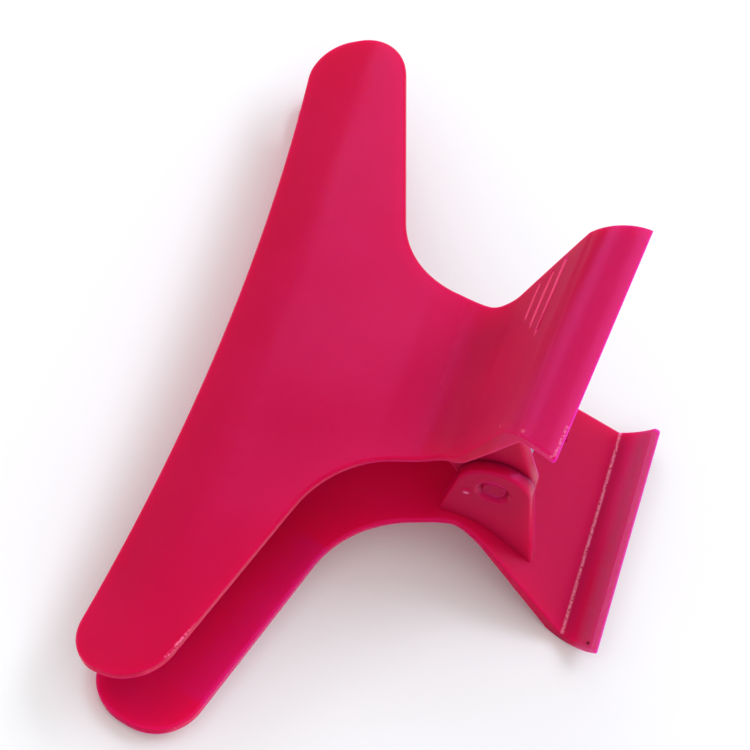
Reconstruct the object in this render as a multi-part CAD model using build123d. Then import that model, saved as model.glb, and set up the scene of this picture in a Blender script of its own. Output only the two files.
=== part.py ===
from build123d import *
from math import atan2, asin, cos, degrees, hypot, radians, sin, tan
import os

# Butterfly hair clip: two thin moulded halves that turn on one hinge line and are held shut by a spring.
# It is built with the hinge line along Y through the origin, the jaws towards -X and the handles
# towards +X. The upper half is above the plane z = 0, and the lower half is its mirror image apart
# from the lugs and from the upper half's warp. At the end the clip is laid down on its lower half.

# Plate and edges. The plate is thinner from the waist on.
wall = 1.3
waist_wall = 0.85
edge_round = 0.3

# Jaw seen from above
jaw_tip_span = 79.3
jaw_tip_x = -35.8
front_bow = 3.3
tip_width = 10.2
tip_back_flare = 2.5
tip_front_round = 4.8
tip_back_round = 5.6
flank_foot_x = -15.5
flank_foot_span = 24.2
flank_foot_round = 11.6

# Waist and handle seen from above
waist_x = -4.4
waist_span = 18.8
waist_round = 3.3
handle_end_span = 28.8
end_room = 0.1

# Heights of the upper half's outer face above the plane z = 0
front_height = 3.3
crown_x = -28.3
crown_height = 5.4
crown_round = 25.0
waist_height = 6.4
waist_bend_x = -12.3
waist_bend_round = 30.0
valley_x = -3.5
valley_round = 7.0

# Handle's straight slope, and the curled crest, whose circle the slope cuts at a crease
handle_slope = 58.8
crest_height = 21.75
crest_round = 4.65
crest_cut = 0.185
curl_slope = 42.0
crease_round = 1.2
inner_crease_back = 1.1
inner_crease_drop = 1.7
inner_curl_round = 7.0
end_wall = 1.0

# Warp of the upper half: degrees by which its plate sits askew of its lugs, and the crest's further
# shift along X for each millimetre along Y
upper_skew = -2.5
upper_crest_lean = 0.054

# Lips that close the front of the jaws
lip_wall = 1.2
lip_span = 66.0
lip_setback = 0.8
lip_gap = 0.3

# Grip ridges on the handle, on its +Y side only
ridge_count = 3
ridge_height = 0.16
ridge_width = 0.6
ridge_pitch = 2.7
ridge_start = 7.8
ridge_start_y = 5.3
ridge_step_y = 1.9
ridge_margin = 1.2

# Lugs, stubs and the holes that they turn in
lug_wall = 1.5
lug_radius = 4.1
lug_outer_span = 17.0
lug_back_foot_x = -6.9
lug_front_foot_x = 2.3
stub_radius = 1.45
stub_clearance = 0.05
stub_recess = 0.3
stub_lead = 0.25
hole_bevel = 0.5
lug_gap = 0.05
lug_edge_round = 0.4
pip_radius = 0.5
pip_height = 0.15
pip_back = 3.0
pip_drop = 0.5

# Spring of round wire, with its coil on two short bosses
wire = 0.9
coil_radius = 2.3
coil_turns = 7
coil_pitch = 1.0
leg_reach = 10.0
spring_touch = 0.15
boss_clearance = 0.25
boss_length = 1.2

# Limits that tell the plate's upright side faces and their corner edges from the rest
side_face_lean = 0.02
corner_edge_rise = 0.95


def along(slope, length):
    """A step of the given length at a slope in degrees above the X axis."""
    return Vector(length * cos(radians(slope)), length * sin(radians(slope)))


def handle_foot():
    """Corner of the outer face's side view where the waist meets the handle's slope."""
    return Vector(valley_x, waist_height)


def crest_centre(lean=0.0):
    """Centre of the crest's arc, which the handle's slope leads to, moved along X by lean."""
    inward = along(handle_slope - 90, crest_round - crest_cut)
    rise = crest_height - crest_round - waist_height - inward.Y
    run = rise / tan(radians(handle_slope))
    return Vector(valley_x + run + inward.X + lean, crest_height - crest_round)


def handle_angle(lean=0.0):
    """Slope in degrees that keeps the handle's line as far from the crest's centre when that leans."""
    offset = (handle_foot() - crest_centre()).dot(along(handle_slope + 90, 1))
    run = crest_centre(lean) - handle_foot()
    return degrees(atan2(run.Y, run.X) + asin(offset / run.length))


def corners_and_slopes(lean=0.0):
    """Corners of the outer face's side view up to the valley, and the slope after each in degrees."""
    front = Vector(jaw_tip_x, front_height)
    crown = Vector(crown_x, crown_height)
    bend = Vector(waist_bend_x, waist_height)
    beyond = front + (front - crown).normalized() * front_bow
    corners = [beyond, crown, bend, handle_foot()]
    runs = [b - a for a, b in zip(corners, corners[1:])]
    return corners, [degrees(atan2(run.Y, run.X)) for run in runs] + [handle_angle(lean)]


def sunk_corners(depths, lean=0.0):
    """The outer face's corners, each moved into the plate by its depth."""
    corners, slopes = corners_and_slopes(lean)
    points = [corners[0] + along(slopes[0] - 90, depths[0])]
    for corner, depth, before, after in zip(corners[1:], depths[1:], slopes, slopes[1:]):
        half_turn = (after - before) / 2
        points.append(corner + along(before + half_turn - 90, depth / cos(radians(half_turn))))
    return points


def inner_corners(lean=0.0):
    """Corners of the inner face's side view up to the valley."""
    return sunk_corners([wall, wall, waist_wall, waist_wall], lean)


def bent_line(points, depth):
    """A line through the points with its bends as arcs."""
    radii = [crown_round - depth, waist_bend_round - depth, valley_round + depth]
    return FilletPolyline(*[(p.X, p.Y) for p in points], radius=radii)


def sunk_line(depth, lean=0.0):
    """The outer face's side view, moved into the plate by depth."""
    points = sunk_corners([depth] * 4, lean)
    slope = handle_angle(lean)
    centre = crest_centre(lean)
    radius = crest_round - depth
    height = (points[-1] - centre).dot(along(slope + 90, 1))
    crease_angle = slope + degrees(asin(height / radius))
    straight = bent_line([*points, centre + along(crease_angle, radius)], depth)
    arc = CenterArc((centre.X, centre.Y), radius, crease_angle, 90 - curl_slope - crease_angle)
    return Wire([*straight.edges(), *arc.edges()])


def inner_crease(lean=0.0):
    """Sharp bend of the inner face where the curl starts."""
    return Vector(crest_centre(lean).X - inner_crease_back, crest_height - inner_crease_drop)


def inner_line(lean):
    """The inner face's side view, which has a sharp crease and a flatter curl."""
    crease = inner_crease(lean)
    end = crest_centre(lean) + along(90 - curl_slope, crest_round - end_wall)
    straight = bent_line([*inner_corners(lean), crease], wall)
    arc = RadiusArc((crease.X, crease.Y), (end.X, end.Y), inner_curl_round)
    return Wire([*straight.edges(), *arc.edges()])


def plate_section(lean=0.0):
    """Side view of the plate as a flat face: X to the right and height upwards."""
    outer = sunk_line(0, lean)
    inner = inner_line(lean)
    face = make_face([outer, inner, Line(outer @ 0, inner @ 0), Line(outer @ 1, inner @ 1)])
    crease = outer.edges()[-1] @ 0
    return fillet(nearest(face, crease.X, crease.Y), crease_round)


def room_below(depth, floor):
    """Side view of the space between the sunk line and the height called floor."""
    roof = sunk_line(depth)
    left = roof @ 0
    right = roof @ 1
    foot = Polyline((left.X, left.Y), (left.X, floor), (right.X, floor), (right.X, right.Y))
    return make_face([roof, foot])


def nearest(face, x, y):
    """The face's vertex nearest to a point."""
    return min(face.vertices(), key=lambda v: hypot(v.X - x, v.Y - y))


def handle_end_x():
    """Farthest point of the handle's outer face along X."""
    return crest_centre().X + crest_round * sin(radians(curl_slope))


def side_corners(sign, lean):
    """Corners of the plan outline on the +Y or -Y side, each with its rounding. The last is sharp."""
    tip_y = sign * jaw_tip_span / 2
    end_y = sign * handle_end_span / 2
    return [
        (jaw_tip_x, tip_y, tip_front_round),
        (jaw_tip_x + tip_width, tip_y + sign * tip_back_flare, tip_back_round),
        (flank_foot_x, sign * flank_foot_span / 2, flank_foot_round),
        (waist_x, sign * waist_span / 2, waist_round),
        (handle_end_x() + end_room + lean * end_y, end_y, 0),
    ]


def plan_outline(lean=0.0):
    """The half seen from above, with the bowed front edge and its rounded corners."""
    corners = side_corners(1, lean) + side_corners(-1, lean)[::-1]
    front = ThreePointArc(corners[-1][:2], (jaw_tip_x + front_bow, 0), corners[0][:2])
    face = make_face([front, Polyline(*[(x, y) for x, y, _ in corners])])
    for x, y, radius in corners:
        if radius:
            face = fillet(nearest(face, x, y), radius)
    return face


def upright_at(face, y):
    """A side view stood up at a place along the hinge line."""
    return Plane(origin=(0, y, 0), x_dir=(1, 0, 0), z_dir=(0, -1, 0)) * face


def upright(face, width):
    """A side view made solid, centred on the plane y = 0."""
    return extrude(Plane.XZ * face, width / 2, both=True)


def end_face(plate):
    """The face at the end of the handle."""
    way = Vector(cos(radians(curl_slope)), 0, -sin(radians(curl_slope)))
    return max(plate.faces(), key=lambda face: face.normal_at(face.center()).dot(way))


def outline_edges(plate):
    """The long edges round the plate, apart from the square-cut end of the handle."""
    taken = list(end_face(plate).edges())
    edges = []
    for face in plate.faces():
        if abs(face.normal_at(face.center()).Z) > side_face_lean:
            continue
        for edge in face.edges():
            if abs((edge % 0.5).Z) < corner_edge_rise and not any(edge.is_same(e) for e in taken):
                taken.append(edge)
                edges.append(edge)
    return edges


def plate(lean=0.0):
    """The thin plate of one half, with its crest askew by lean for each millimetre along Y."""
    outline = plan_outline(lean)
    reach = outline.bounding_box().max.Y + wall
    sides = [upright_at(plate_section(lean * y), y) for y in (-reach, reach)]
    body = loft(sides, ruled=True) & extrude(outline, 2 * crest_height)
    return fillet(outline_edges(body), edge_round)


def lip():
    """The turned-in edge along the front of the jaw, which meets the other half's lip."""
    outline = Pos(lip_setback, 0) * plan_outline()
    band = outline - Pos(lip_wall, 0) * outline
    band = band & Rectangle(2 * tip_width, lip_span).moved(Location((jaw_tip_x, 0)))
    column = extrude(band, crown_height)
    return column & upright(room_below(wall / 2, lip_gap / 2), 2 * lip_span)


def ridge_section(place, lean):
    """Side view of a low round ridge on the handle's outer face, at a distance up its slope."""
    slope = handle_angle(lean)
    foot = handle_foot() + along(slope, place)
    half_width = ridge_width / 2
    radius = (half_width ** 2 + ridge_height ** 2) / (2 * ridge_height)
    middle = foot + along(slope - 90, radius - ridge_height)
    strip = Pos(foot.X, foot.Y) * Rectangle(ridge_width, wall, rotation=slope)
    return Pos(middle.X, middle.Y) * Circle(radius) & strip


def ridge(place, start_y, lean):
    """One ridge from start_y to near the handle's edge, at a distance up its slope."""
    foot = handle_foot() + along(handle_slope, place)
    share = (foot.X - waist_x) / (handle_end_x() - waist_x)
    end_y = (waist_span + share * (handle_end_span - waist_span)) / 2 - ridge_margin
    return loft([upright_at(ridge_section(place, lean * y), y) for y in (start_y, end_y)], ruled=True)


def ridges(lean=0.0):
    """The ridges, evenly spaced up the handle, each longer than the one below it."""
    steps = range(ridge_count)
    return [ridge(ridge_start + ridge_pitch * n, ridge_start_y - ridge_step_y * n, lean) for n in steps]


def lug(inner_y):
    """One lug under the plate, a rounded head on a broad foot, from inner_y outwards."""
    feet = Line((lug_back_foot_x, waist_height), (lug_front_foot_x, crest_height))
    outline = make_hull([*Circle(lug_radius).edges(), *feet.edges()])
    body = extrude(Plane.XZ * outline, -lug_wall).moved(Location((0, inner_y, 0)))
    body = fillet(body.faces().sort_by(Axis.Y)[-1].edges(), lug_edge_round)
    return body & upright(room_below(wall / 2, -2 * lug_radius), 2 * lug_outer_span)


def rod(radius, start_y, end_y, bevel=0.0):
    """A round rod on the hinge line, with an optional bevel at its far end."""
    body = Cylinder(radius, end_y - start_y, align=(Align.CENTER, Align.CENTER, Align.MIN))
    if bevel:
        body = chamfer(body.faces().sort_by(Axis.Z)[-1].edges(), bevel)
    return Plane(origin=(0, start_y, 0), x_dir=(1, 0, 0), z_dir=(0, 1, 0)) * body


def both_sides(body):
    """A body and its mirror image across the plane y = 0."""
    return [body, mirror(body, Plane.XZ)]


def lower_half():
    """The half with the outer lugs, whose bevelled holes take the stubs. It is turned over last."""
    outer_y = lug_outer_span / 2
    hole = stub_radius + stub_clearance
    ear = lug(outer_y - lug_wall) - rod(hole, 0, outer_y + wall)
    rim = Plane(origin=(0, outer_y - hole_bevel, 0), x_dir=(1, 0, 0), z_dir=(0, 1, 0))
    ear -= rim * Cone(hole, hole + hole_bevel, hole_bevel, align=(Align.CENTER, Align.CENTER, Align.MIN))
    pip = rod(pip_radius, outer_y - wall / 2, outer_y + pip_height, pip_height / 2)
    pip = Pos(-pip_back, 0, pip_drop) * pip
    parts = [plate(), lip(), *ridges(), *both_sides(ear), *both_sides(pip)]
    return mirror(fused(parts), Plane.XY)


def upper_half():
    """The half with the inner lugs, their stubs and the short bosses that carry the spring."""
    outer_y = lug_outer_span / 2 - lug_wall - lug_gap
    inner_y = outer_y - lug_wall
    stub = rod(stub_radius, inner_y, lug_outer_span / 2 - stub_recess, stub_lead)
    boss = rod(coil_radius - wire / 2 - boss_clearance, inner_y - boss_length, outer_y)
    lean = upper_crest_lean
    parts = [Rot(0, 0, upper_skew) * body for body in (plate(lean), lip(), *ridges(lean))]
    for body in (lug(inner_y), stub, boss):
        parts += both_sides(body)
    return fused(parts)


def fused(parts):
    """All parts joined into one solid."""
    return parts[0].fuse(*parts[1:]).clean()


def leg_slope():
    """Slope of a spring leg whose tip nearly touches the inside of the handle."""
    foot = inner_corners()[-1]
    run = inner_crease() - foot
    slope = degrees(atan2(run.Y, run.X))
    room = (foot * -1).dot(along(slope - 90, 1)) - spring_touch - wire / 2
    return slope + degrees(asin((room - coil_radius) / leg_reach))


def wire_path(start):
    """The wire's centre line on the Z axis: a leg, the coil and a leg, each leg along the coil's end."""
    turns = coil_turns + (2 * start - 360) / 360
    coil = Helix(coil_pitch, coil_pitch * turns, coil_radius)
    first = Line((coil @ 0) - (coil % 0) * leg_reach, coil @ 0)
    last = Line(coil @ 1, (coil @ 1) + (coil % 1) * leg_reach)
    return Wire([*first.edges(), *coil.edges(), *last.edges()])


def spring():
    """A close coil on the hinge line with one straight leg behind each handle."""
    start = 270 - leg_slope()
    path = wire_path(start)
    body = sweep(Plane(origin=path @ 0, z_dir=path % 0) * Circle(wire / 2), path=path, is_frenet=True)
    tips = [edge for face in body.faces().filter_by(GeomType.PLANE) for edge in face.edges()]
    body = fillet(tips, wire / 3)
    x_dir = (cos(radians(start)), 0, sin(radians(start)))
    middle = body.bounding_box().center().Z
    seat = Plane(origin=(0, -middle, 0), x_dir=x_dir, z_dir=(0, 1, 0))
    return mirror(seat * body, Plane.XZ)


def resting_turn():
    """Turn about the hinge line that brings the front tips and the crest level with each other."""
    centre = crest_centre()
    tip_x = plan_outline().bounding_box().min.X
    rise = (crown_height - front_height) / (crown_x - jaw_tip_x)
    tip_z = front_height + rise * (tip_x - jaw_tip_x)
    run = centre.X - tip_x
    drop = centre.Y - tip_z
    return degrees(atan2(drop, run) + asin(crest_round / hypot(run, drop)))


def laid_down(nodes):
    """The clip turned onto its lower half, with its box's bottom centre at the origin."""
    turned = {name: Rot(0, -resting_turn(), 0) * body for name, body in nodes.items()}
    boxes = [body.bounding_box() for body in turned.values()]
    box = boxes[0].add(boxes[1]).add(boxes[2])
    shift = Pos(-box.center().X, -box.center().Y, -box.min.Z)
    print("hinge line at", shift.position, "turned by", resting_turn())
    return {name: shift * body for name, body in turned.items()}


os.makedirs("parts", exist_ok=True)
clip = laid_down({"lower_half": lower_half(), "upper_half": upper_half(), "spring": spring()})
for name, body in clip.items():
    export_step(body, f"parts/{name}.step")
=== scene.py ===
import math
from collections import namedtuple

import bmesh
import bpy
from mathutils import Matrix, Vector


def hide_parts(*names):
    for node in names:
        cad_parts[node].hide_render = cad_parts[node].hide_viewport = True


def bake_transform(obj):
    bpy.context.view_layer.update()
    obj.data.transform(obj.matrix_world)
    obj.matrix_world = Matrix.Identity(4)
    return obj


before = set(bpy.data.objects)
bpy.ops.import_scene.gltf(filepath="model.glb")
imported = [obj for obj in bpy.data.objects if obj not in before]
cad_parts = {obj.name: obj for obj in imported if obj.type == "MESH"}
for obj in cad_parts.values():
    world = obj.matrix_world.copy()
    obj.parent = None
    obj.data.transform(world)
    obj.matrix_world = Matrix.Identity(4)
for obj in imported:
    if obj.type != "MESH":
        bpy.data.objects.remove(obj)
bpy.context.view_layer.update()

# A line between two ends, used for wear and for painted light, and a small spot about a centre.
# Both are full inside the core, gone past the reach (distances in metres) and turn the plastic
# towards a colour by a share.
Line = namedtuple("Line", "start end core reach share colour")
Spot = namedtuple("Spot", "centre core reach share colour")

# The camera, in metres and degrees. The photograph is 750 pixels wide.
PHOTO_WIDTH = 750
SENSOR = 36.0
FOCAL_PIXELS = 3600
CAMERA_PLACE = Vector((-0.04982, -0.18315, 0.34431))
CAMERA_TARGET = Vector((-0.00723, -0.00033, 0.01527))
CAMERA_ROLL = 33.536
CLIP_START = 0.01
CLIP_END = 20.0

# The lights: name, place, size, power in watts and colour
LIGHTS = (("key", (0.38, 0.41, 0.63), (0.48, 0.38), 2.1, (0.88, 0.94, 1.10)),
          ("fill", (-0.48, 0.55, 0.49), (0.32, 0.34), 0.85, (0.90, 0.95, 1.08)))
LIGHT_AIM = Vector((0.0, 0.0, 0.015))

# The room's strength at the horizon and from ROOM_TOP (the upward part of the direction) on
ROOM_LOW = 0.55
ROOM_HIGH = 0.94
ROOM_TOP = 0.6

# The spring's wire in metres: its legs' tips, and its coil about the hinge line, wound from the
# lower half's leg to the upper half's. Angles are in degrees.
HINGE = Vector((0.00825201, -0.000621435, 0.0171094))
LOWER_TIP = Vector((0.0132556, 0.0036215, 0.0081776))
UPPER_TIP = Vector((0.0051969, -0.0048643, 0.0268808))
COIL_START = -137.7598
COIL_SWEEP = -2557.8607
COIL_SIDES = (0.0029311, -0.0041740)
COIL_RADIUS = 0.0023
COIL_STEPS = 360
WIRE_RADIUS = 0.00045
WIRE_FACES = 16
TIP_ROUND = 0.0003
TIP_TURNS = (0.0, 22.5, 45.0, 67.5, 90.0)
LEG_STEPS = 8
SHARP_ANGLE = 40

# Colours, linear
WHITE = (1.0, 1.0, 1.0, 1.0)
UPPER_TONES = ((0.50, 0.0026, 0.042, 1.0), (0.52, 0.0032, 0.048, 1.0), (0.54, 0.0042, 0.056, 1.0))
# Painted light: the lower half's tones are lighter than the upper's, standing in for light in its
# shaded inside
LOWER_TONES_LIGHTENED = ((0.66, 0.0052, 0.072, 1.0), (0.68, 0.0062, 0.080, 1.0), (0.70, 0.0072, 0.090, 1.0))
# Painted shade on the handles
PINK_HANDLE_SHADE = (0.42, 0.0030, 0.048, 1.0)
# Painted shade on sideways faces and on the upper half's steep wall
PINK_SIDE_SHADE = (0.40, 0.0022, 0.034, 1.0)
# Painted shade on the strip past the lower half's inner crease
PINK_SHADE = (0.40, 0.0024, 0.040, 1.0)
# Painted sheen on the upper handle's end
PINK_END_SHEEN = (0.48, 0.0120, 0.096, 1.0)
# Painted reflection on the lower handle's end band
PINK_PALE_REFLECTION = (0.42, 0.050, 0.145, 1.0)
# Painted highlight on the grip ridges' tops
PINK_RIDGE_HIGHLIGHT = (0.75, 0.080, 0.170, 1.0)
# Painted light on the lower jaw's near rim
PINK_RIM_LIGHT = (0.58, 0.0090, 0.150, 1.0)
# Painted highlights and a painted glint, and the upper half's two pale spots
PINK_WHITE = (0.85, 0.24, 0.36, 1.0)
SCUFF = (0.60, 0.24, 0.30, 1.0)
SPECK = (0.08, 0.004, 0.012, 1.0)
STEEL_DARK = (0.36, 0.36, 0.38, 1.0)
STEEL = (0.55, 0.55, 0.57, 1.0)
FLOOR_DARK = (0.92, 0.92, 0.92, 1.0)
FLOOR = (0.93, 0.93, 0.93, 1.0)

# Noises: scale, detail and roughness
CLOUD = (90.0, 3.0, 0.5)
RUB = (420.0, 5.0, 0.6)
WAVE = (70.0, 0.0, 0.5)
PATCHES = (2600.0, 3.0, 0.7)
GRAIN = (1500.0, 4.0, 0.5)
FLOOR_CLOUD = (8.0, 2.0, 0.5)

# The plastic: where its three tones lie in the cloud, its roughness by the rub, its wavy skin, and
# what its shader says all over
TONE_STOPS = (0.30, 0.52, 0.75)
SKIN_ROUGHNESS = ((0.35, 0.15), (0.70, 0.24))
WAVE_STRENGTH = 0.5
WAVE_HEIGHT = 0.0006
PLASTIC = {
    "Subsurface Weight": 1.0,
    "Subsurface Radius": (1.0, 0.08, 0.5),
    "Subsurface Scale": 0.005,
    "IOR": 1.46,
    "Specular IOR Level": 0.26,
    "Specular Tint": (0.9, 0.15, 1.0, 1.0),
}

# The handles' darker tone, painted shade, begins between these X, and the duller sides, painted
# darker as shade, lie where the squared Y of the normal is between SIDE_NORMAL
HANDLE_TONE = (-0.004, 0.008)
HANDLE_SHADE_SHARE = 0.6
HANDLE_ROUGHNESS = 0.25
SIDE_NORMAL = (0.5, 0.9)
SIDE_SHADE_SHARE = 0.8
SIDE_ROUGHNESS = 0.7

# Steel and floor
STEEL_STOPS = ((0.3, STEEL_DARK), (0.7, STEEL))
STEEL_ROUGHNESS = ((0.3, 0.28), (0.7, 0.42))
FLOOR_STOPS = ((0.3, FLOOR_DARK), (0.7, FLOOR))
FLOOR_ROUGHNESS = 0.9
FLOOR_SIZE = 6.0

# A line mark fades in and out over this part of its length at both ends
LINE_FADE = 0.05

# Marks on the lower half, in metres: painted light on the jaw's near rim, painted shade on a dull
# strip past the handle's inner crease and a painted patchy reflection on the end band (both by X),
# a painted highlight along the crease itself, a painted glint on the near lug and a dark speck
JAW_RIM_LIGHT = Line((-0.0050, -0.0160, 0.0054), (-0.0118, -0.0380, 0.0036),
               0.0004, 0.0050, 0.7, PINK_RIM_LIGHT)
SHADED_STRIP = (0.0224, 0.0228, 0.0232, 0.0242)
STRIP_SHADE_SHARE = 0.5
DULL_ROUGHNESS = 0.6
END_REFLECTION_BAND = (0.0239, 0.0254)
END_PATCHES = (0.3, 0.7)
END_PATCH_DEPTH = 0.3
END_ROUGHNESS = 0.6
CREASE_HIGHLIGHT = Line((0.022706, -0.0150, 0.001505), (0.022706, 0.0150, 0.001505),
              0.00008, 0.00026, 0.85, PINK_WHITE)
CREASE_HIGHLIGHT_PATCHES = (0.36, 0.54)
LUG_GLINT = Spot((0.00581, -0.00927, 0.01521), 0.0002, 0.0004, 0.6, PINK_WHITE)
LOWER_SPECK = Spot((0.02548, -0.01408, 0.00281), 0.0001, 0.0003, 1.0, SPECK)

# Marks on the upper half: a paler end past the handle's crest, painted sheen (by X less END_SKEW
# times Y, above END_FLOOR), painted shade on the dull steep wall between two heights, painted
# highlights on the tops of its grip ridges and along a stretch of the near edge, the scuffed near
# corner of the handle and two small pale spots
END_SHEEN_BOUNDS = (0.0054, 0.0062)
END_SKEW = 0.1436
END_FLOOR = (0.030, 0.033)
END_SHEEN_SHARE = 0.85
WALL = (0.0190, 0.0230, 0.0388, 0.0394)
WALL_SHADE_SHARE = 0.4
WALL_ROUGHNESS = 0.62
RIDGE_HIGHLIGHTS = (
    Line((0.00384, 0.0042, 0.02959), (0.00417, 0.0090, 0.02984), 0.0001, 0.0003, 0.8, PINK_RIDGE_HIGHLIGHT),
    Line((0.00411, 0.0020, 0.03207), (0.00469, 0.0094, 0.03257), 0.0001, 0.0003, 0.8, PINK_RIDGE_HIGHLIGHT),
    Line((0.00434, -0.0002, 0.03459), (0.00514, 0.0099, 0.03506), 0.0001, 0.0003, 0.8, PINK_RIDGE_HIGHLIGHT),
)
SCUFFS = (
    Line((0.00500, -0.01360, 0.03900), (0.00882, -0.01516, 0.03995), 0.00008, 0.00024, 0.7, SCUFF),
    Line((0.00882, -0.01516, 0.03995), (0.00930, -0.01120, 0.04018), 0.00008, 0.00024, 0.7, SCUFF),
)
EDGE_HIGHLIGHT = Line((-0.01790, -0.03790, 0.01190), (-0.01600, -0.03320, 0.01285),
                   0.00012, 0.00030, 1.0, PINK_WHITE)
WEAR_AND_HIGHLIGHT_PATCHES = (0.42, 0.60)
UPPER_PALE_SPOTS = (
    Spot((0.00356, -0.01181, 0.03588), 0.0001, 0.0003, 0.3, PINK_WHITE),
    Spot((0.00528, -0.01331, 0.03940), 0.0001, 0.0003, 0.3, PINK_WHITE),
)


def grey(value):
    """A grey as a colour."""
    return (value, value, value, 1.0)


class Skin:
    """A material under way: its nodes, and its colour and roughness so far."""

    def __init__(self, name):
        self.material = bpy.data.materials.new(name)
        self.material.use_nodes = True
        self.nodes = self.material.node_tree.nodes
        self.links = self.material.node_tree.links
        self.shader = self.nodes["Principled BSDF"]
        coordinates = self.nodes.new("ShaderNodeTexCoord")
        self.place = coordinates.outputs["Object"]
        self.normal = coordinates.outputs["Normal"]
        self.colour = None
        self.roughness = None

    def node(self, kind, inputs, **settings):
        """A new node with these settings, its inputs linked to sockets or set to values."""
        node = self.nodes.new(kind)
        for name, value in settings.items():
            setattr(node, name, value)
        for name, value in inputs.items():
            if isinstance(value, bpy.types.NodeSocket):
                self.links.new(value, node.inputs[name])
            else:
                node.inputs[name].default_value = value
        return node

    def split(self, vector):
        """The X, Y and Z of a vector."""
        return tuple(self.node("ShaderNodeSeparateXYZ", {"Vector": vector}).outputs)

    def noise(self, scale, detail, roughness):
        """A noise in the object's own coordinates."""
        sizes = {"Scale": scale, "Detail": detail, "Roughness": roughness}
        return self.node("ShaderNodeTexNoise", {"Vector": self.place, **sizes}).outputs["Fac"]

    def ramp(self, value, stops):
        """A colour ramp through the given places and colours."""
        node = self.nodes.new("ShaderNodeValToRGB")
        elements = node.color_ramp.elements
        while len(elements) < len(stops):
            elements.new(0.5)
        for element, (place, colour) in zip(elements, stops):
            element.position = place
            element.color = colour
        self.links.new(value, node.inputs["Fac"])
        return node.outputs["Color"]

    def rough_ramp(self, value, stops):
        """A ramp through the given places and roughness values."""
        return self.ramp(value, [(place, grey(roughness)) for place, roughness in stops])

    def math(self, operation, first, second):
        """A math node's result."""
        return self.node("ShaderNodeMath", {0: first, 1: second}, operation=operation).outputs[0]

    def times(self, first, second):
        """A product."""
        return self.math("MULTIPLY", first, second)

    def vector(self, operation, inputs, output):
        """A vector math node's result."""
        inputs = dict(enumerate(inputs))
        return self.node("ShaderNodeVectorMath", inputs, operation=operation).outputs[output]

    def fade(self, value, start, end):
        """0 where the value is at start, 1 where it is at end, smoothly between."""
        inputs = {"From Min": start, "From Max": end, "Value": value}
        node = self.node("ShaderNodeMapRange", inputs, interpolation_type="SMOOTHSTEP")
        return node.outputs["Result"]

    def between(self, value, bounds):
        """1 between the two middle bounds, smoothly down to 0 at the two outer ones."""
        low, rise, fall, high = bounds
        return self.times(self.fade(value, low, rise), self.fade(value, high, fall))

    def blended(self, share, first, colour):
        """The first colour, turned towards another by share."""
        inputs = {"Factor": share, "A": first, "B": colour}
        return self.node("ShaderNodeMix", inputs, data_type="RGBA").outputs["Result"]

    def spot_mask(self, spot):
        """1 inside a spot's core and 0 past its reach."""
        away = self.vector("DISTANCE", (self.place, spot.centre), "Value")
        return self.fade(away, spot.reach, spot.core)

    def line_mask(self, line):
        """1 inside a line's core and 0 past its reach and its ends."""
        start, end = Vector(line.start), Vector(line.end)
        length = (end - start).length
        way = (end - start).normalized()
        rise = self.vector("SUBTRACT", (self.place, start), "Vector")
        aside = self.vector("CROSS_PRODUCT", (rise, way), "Vector")
        away = self.vector("LENGTH", (aside,), "Value")
        along = self.vector("DOT_PRODUCT", (rise, way), "Value")
        ends = (0.0, LINE_FADE * length, (1 - LINE_FADE) * length, length)
        return self.times(self.fade(away, line.reach, line.core), self.between(along, ends))

    def patches(self, low, high):
        """Fine irregular patches, from 0 to 1."""
        return self.fade(self.noise(*PATCHES), low, high)

    def paint(self, mask, colour, share=1.0):
        """Turns the colour towards another by a mask and a share."""
        mask = mask if share == 1.0 else self.times(mask, share)
        self.colour = self.blended(mask, self.colour, colour)

    def dull(self, mask, roughness):
        """Sets the roughness where the mask is."""
        self.roughness = self.blended(mask, self.roughness, grey(roughness))

    def draw_spot(self, spot):
        """Paints a spot."""
        self.paint(self.spot_mask(spot), spot.colour, spot.share)

    def draw_line(self, line, patches=None):
        """Paints a line, whole or in patches."""
        mask = self.line_mask(line)
        mask = mask if patches is None else self.times(mask, patches)
        self.paint(mask, line.colour, line.share)

    def finished(self, settings):
        """The material, with its colour, roughness and what its shader says all over."""
        self.links.new(self.colour, self.shader.inputs["Base Color"])
        if isinstance(self.roughness, bpy.types.NodeSocket):
            self.links.new(self.roughness, self.shader.inputs["Roughness"])
        else:
            self.shader.inputs["Roughness"].default_value = self.roughness
        for name, value in settings.items():
            self.shader.inputs[name].default_value = value
        return self.material


def mark_lower(skin):
    """Lower half: painted rim light, strip shade, end reflection, crease highlight and lug glint; a
    speck.
    """
    x = skin.split(skin.place)[0]
    # Painted light: a brighter near rim on the jaw
    skin.draw_line(JAW_RIM_LIGHT)
    # Painted shade: a darker strip past the handle's inner crease, also dulled
    shaded_strip = skin.between(x, SHADED_STRIP)
    skin.paint(shaded_strip, PINK_SHADE, STRIP_SHADE_SHARE)
    skin.dull(shaded_strip, DULL_ROUGHNESS)
    # Painted reflection: a pale patchy band on the handle's end
    patchy = skin.math("ADD", skin.times(skin.patches(*END_PATCHES), END_PATCH_DEPTH),
                       1 - END_PATCH_DEPTH)
    end = skin.times(skin.fade(x, *END_REFLECTION_BAND), patchy)
    skin.paint(end, PINK_PALE_REFLECTION)
    skin.dull(end, END_ROUGHNESS)
    # Painted highlight: a bright patchy line along the inner crease
    skin.draw_line(CREASE_HIGHLIGHT, skin.patches(*CREASE_HIGHLIGHT_PATCHES))
    # Painted glint on the near lug
    skin.draw_spot(LUG_GLINT)
    skin.draw_spot(LOWER_SPECK)


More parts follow.
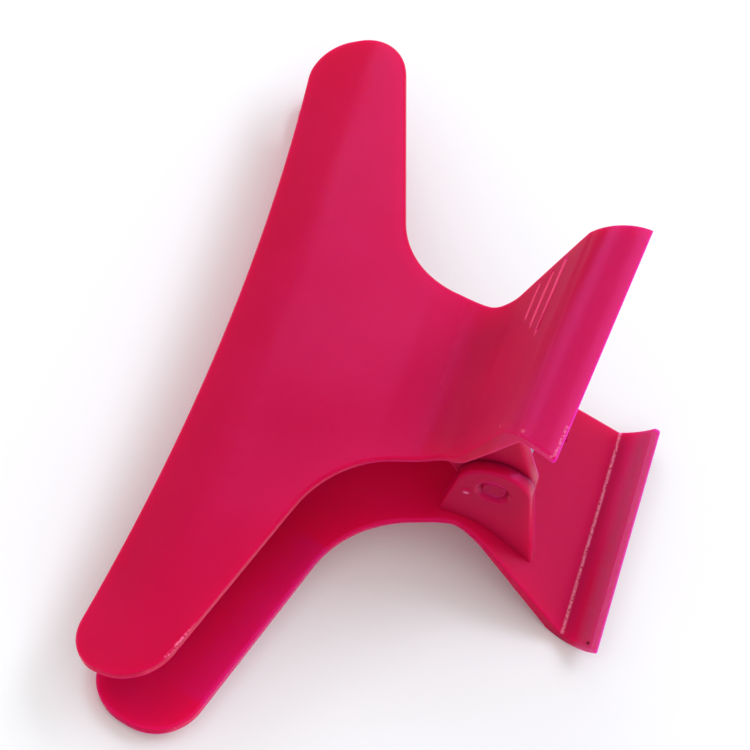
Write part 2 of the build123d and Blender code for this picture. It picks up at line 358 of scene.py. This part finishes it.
def mark_upper(skin):
    """Upper half: painted end sheen, wall shade, ridge and edge highlights; scuffs and two pale
    spots.
    """
    x, y, z = skin.split(skin.place)
    # Painted sheen: a paler, more violet end past the handle's crest
    beyond = skin.fade(skin.math("SUBTRACT", x, skin.times(y, END_SKEW)), *END_SHEEN_BOUNDS)
    skin.paint(skin.times(beyond, skin.fade(z, *END_FLOOR)), PINK_END_SHEEN, END_SHEEN_SHARE)
    # Painted shade: the steep wall is darker, and also duller
    wall = skin.between(z, WALL)
    skin.dull(wall, WALL_ROUGHNESS)
    skin.paint(wall, PINK_SIDE_SHADE, WALL_SHADE_SHARE)
    # Painted highlights on the grip ridges' tops
    for ridge_highlight in RIDGE_HIGHLIGHTS:
        skin.draw_line(ridge_highlight)
    # Patches shared by the scuffs, which are wear, and by the painted edge highlight
    wear_and_highlight = skin.patches(*WEAR_AND_HIGHLIGHT_PATCHES)
    for scuff in SCUFFS:
        skin.draw_line(scuff, wear_and_highlight)
    # Painted highlight along a stretch of the near edge
    skin.draw_line(EDGE_HIGHLIGHT, wear_and_highlight)
    # Two small pale spots
    for pale_spot in UPPER_PALE_SPOTS:
        skin.draw_spot(pale_spot)


def pink_plastic(name, tones, marks):
    """Glossy, slightly milky moulded plastic: faint mottle, wavy skin, painted shade on handles and
    sides.
    """
    skin = Skin(name)
    skin.colour = skin.ramp(skin.noise(*CLOUD), list(zip(TONE_STOPS, tones)))
    skin.roughness = skin.rough_ramp(skin.noise(*RUB), SKIN_ROUGHNESS)
    # Painted shade: a darker tone on the handles
    shaded_handle = skin.fade(skin.split(skin.place)[0], *HANDLE_TONE)
    skin.paint(shaded_handle, PINK_HANDLE_SHADE, HANDLE_SHADE_SHARE)
    skin.dull(shaded_handle, HANDLE_ROUGHNESS)
    # Painted shade: faces turned sideways are darker, and also duller
    facing = skin.split(skin.normal)[1]
    side = skin.fade(skin.times(facing, facing), *SIDE_NORMAL)
    skin.paint(side, PINK_SIDE_SHADE, SIDE_SHADE_SHARE)
    skin.dull(side, SIDE_ROUGHNESS)
    marks(skin)
    wave = {"Strength": WAVE_STRENGTH, "Distance": WAVE_HEIGHT, "Height": skin.noise(*WAVE)}
    bump = skin.node("ShaderNodeBump", wave)
    skin.links.new(bump.outputs["Normal"], skin.shader.inputs["Normal"])
    return skin.finished(PLASTIC)


def spring_steel(name):
    """Drawn steel wire with a satin skin."""
    skin = Skin(name)
    grain = skin.noise(*GRAIN)
    skin.colour = skin.ramp(grain, STEEL_STOPS)
    skin.roughness = skin.rough_ramp(grain, STEEL_ROUGHNESS)
    return skin.finished({"Metallic": 1.0})


def floor_material(name):
    """A plain pale floor."""
    skin = Skin(name)
    skin.colour = skin.ramp(skin.noise(*FLOOR_CLOUD), FLOOR_STOPS)
    skin.roughness = FLOOR_ROUGHNESS
    return skin.finished({})


def coil_ring(share):
    """Centre, outward direction and radius of a ring of the coil, by share of its length."""
    angle = math.radians(COIL_START + COIL_SWEEP * share)
    out = Vector((math.cos(angle), 0.0, math.sin(angle)))
    side = COIL_SIDES[0] + (COIL_SIDES[1] - COIL_SIDES[0]) * share
    return Vector((HINGE.x, side, HINGE.z)) + out * COIL_RADIUS, out, WIRE_RADIUS


def leg_rings(tip, root, out):
    """The rings of a straight leg from its rounded tip to its root."""
    way = (root - tip).normalized()
    rings = []
    for turn in TIP_TURNS:
        inset = TIP_ROUND * (1 - math.cos(math.radians(turn)))
        lost = TIP_ROUND * (1 - math.sin(math.radians(turn)))
        rings.append((tip + way * inset, out, WIRE_RADIUS - lost))
    rest = (root - tip).length - TIP_ROUND
    for n in range(1, LEG_STEPS + 1):
        rings.append((tip + way * (TIP_ROUND + rest * n / LEG_STEPS), out, WIRE_RADIUS))
    return rings


def wire_rings():
    """All rings along the wire, from the lower leg's tip to the upper leg's."""
    start, end = coil_ring(0.0), coil_ring(1.0)
    coil = [coil_ring(n / COIL_STEPS) for n in range(1, COIL_STEPS)]
    return leg_rings(LOWER_TIP, *start[:2]) + coil + leg_rings(UPPER_TIP, *end[:2])[::-1]


def wire_mesh(name):
    """The wire as one closed tube around its rings."""
    rings = wire_rings()
    vertices = []
    for index, (centre, out, radius) in enumerate(rings):
        way = rings[min(index + 1, len(rings) - 1)][0] - rings[max(index - 1, 0)][0]
        across = way.cross(out).normalized()
        level = across.cross(way).normalized()
        for n in range(WIRE_FACES):
            turn = 2 * math.pi * n / WIRE_FACES
            vertices.append(centre + (level * math.cos(turn) + across * math.sin(turn)) * radius)
    faces = [tuple(range(WIRE_FACES)),
             tuple(range(len(vertices) - WIRE_FACES, len(vertices)))]
    for index in range(len(rings) - 1):
        for n in range(WIRE_FACES):
            a = index * WIRE_FACES + n
            b = index * WIRE_FACES + (n + 1) % WIRE_FACES
            faces.append((a, b, b + WIRE_FACES, a + WIRE_FACES))
    mesh = bpy.data.meshes.new(name)
    mesh.from_pydata(vertices, [], faces)
    shape = bmesh.new()
    shape.from_mesh(mesh)
    bmesh.ops.recalc_face_normals(shape, faces=shape.faces)
    shape.to_mesh(mesh)
    shape.free()
    mesh.shade_smooth()
    mesh.set_sharp_from_angle(angle=math.radians(SHARP_ANGLE))
    return mesh


def make_spring(material):
    """The spring's wire, one fixed tube coiled between the two halves in place of the CAD spring.
    """
    mesh = wire_mesh("spring_wire")
    mesh.materials.append(material)
    piece = bpy.data.objects.new("spring_wire", mesh)
    bpy.context.collection.objects.link(piece)
    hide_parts("spring")
    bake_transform(piece)


def dress(node, material):
    """Gives a CAD node its material."""
    node.data.materials.clear()
    node.data.materials.append(material)


def make_floor():
    """The pale surface that the clip lies on."""
    bpy.ops.mesh.primitive_plane_add(size=FLOOR_SIZE)
    floor = bpy.context.object
    floor.name = "floor"
    floor.data.materials.append(floor_material("floor"))


def area_light(name, place, size, power, colour):
    """A soft rectangular light turned towards the clip."""
    data = bpy.data.lights.new(name, "AREA")
    data.shape = "RECTANGLE"
    data.size, data.size_y = size
    data.energy = power
    data.color = colour
    light = bpy.data.objects.new(name, data)
    light.location = place
    way = LIGHT_AIM - Vector(place)
    light.rotation_euler = way.to_track_quat("-Z", "Y").to_euler()
    bpy.context.collection.objects.link(light)


def make_lights():
    """A bright room, a little darker low down, with a large soft key and a fill."""
    world = bpy.data.worlds.new("studio")
    bpy.context.scene.world = world
    world.use_nodes = True
    nodes, links = world.node_tree.nodes, world.node_tree.links
    height = nodes.new("ShaderNodeSeparateXYZ")
    links.new(nodes.new("ShaderNodeTexCoord").outputs["Generated"], height.inputs["Vector"])
    strength = nodes.new("ShaderNodeMapRange")
    links.new(height.outputs["Z"], strength.inputs["Value"])
    strength.inputs["From Max"].default_value = ROOM_TOP
    strength.inputs["To Min"].default_value = ROOM_LOW
    strength.inputs["To Max"].default_value = ROOM_HIGH
    nodes["Background"].inputs["Color"].default_value = WHITE
    links.new(strength.outputs["Result"], nodes["Background"].inputs["Strength"])
    for light in LIGHTS:
        area_light(*light)
    bpy.context.scene.view_settings.view_transform = "Standard"


def make_camera():
    """The camera at the photograph's angle, turned about its own axis as the photograph is."""
    data = bpy.data.cameras.new("camera")
    data.sensor_width = SENSOR
    data.lens = SENSOR * FOCAL_PIXELS / PHOTO_WIDTH
    data.clip_start = CLIP_START
    data.clip_end = CLIP_END
    camera = bpy.data.objects.new("camera", data)
    bpy.context.collection.objects.link(camera)
    look = (CAMERA_TARGET - CAMERA_PLACE).to_track_quat("-Z", "Y").to_matrix().to_4x4()
    roll = Matrix.Rotation(math.radians(CAMERA_ROLL), 4, "Z")
    camera.matrix_world = Matrix.Translation(CAMERA_PLACE) @ look @ roll
    bpy.context.scene.camera = camera


make_floor()
make_lights()
make_camera()
# The lower half gets the lighter tones, painted light for its shaded inside
dress(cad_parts["lower_half"], pink_plastic("pink_plastic_lower", LOWER_TONES_LIGHTENED, mark_lower))
dress(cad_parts["upper_half"], pink_plastic("pink_plastic_upper", UPPER_TONES, mark_upper))
make_spring(spring_steel("spring_steel"))
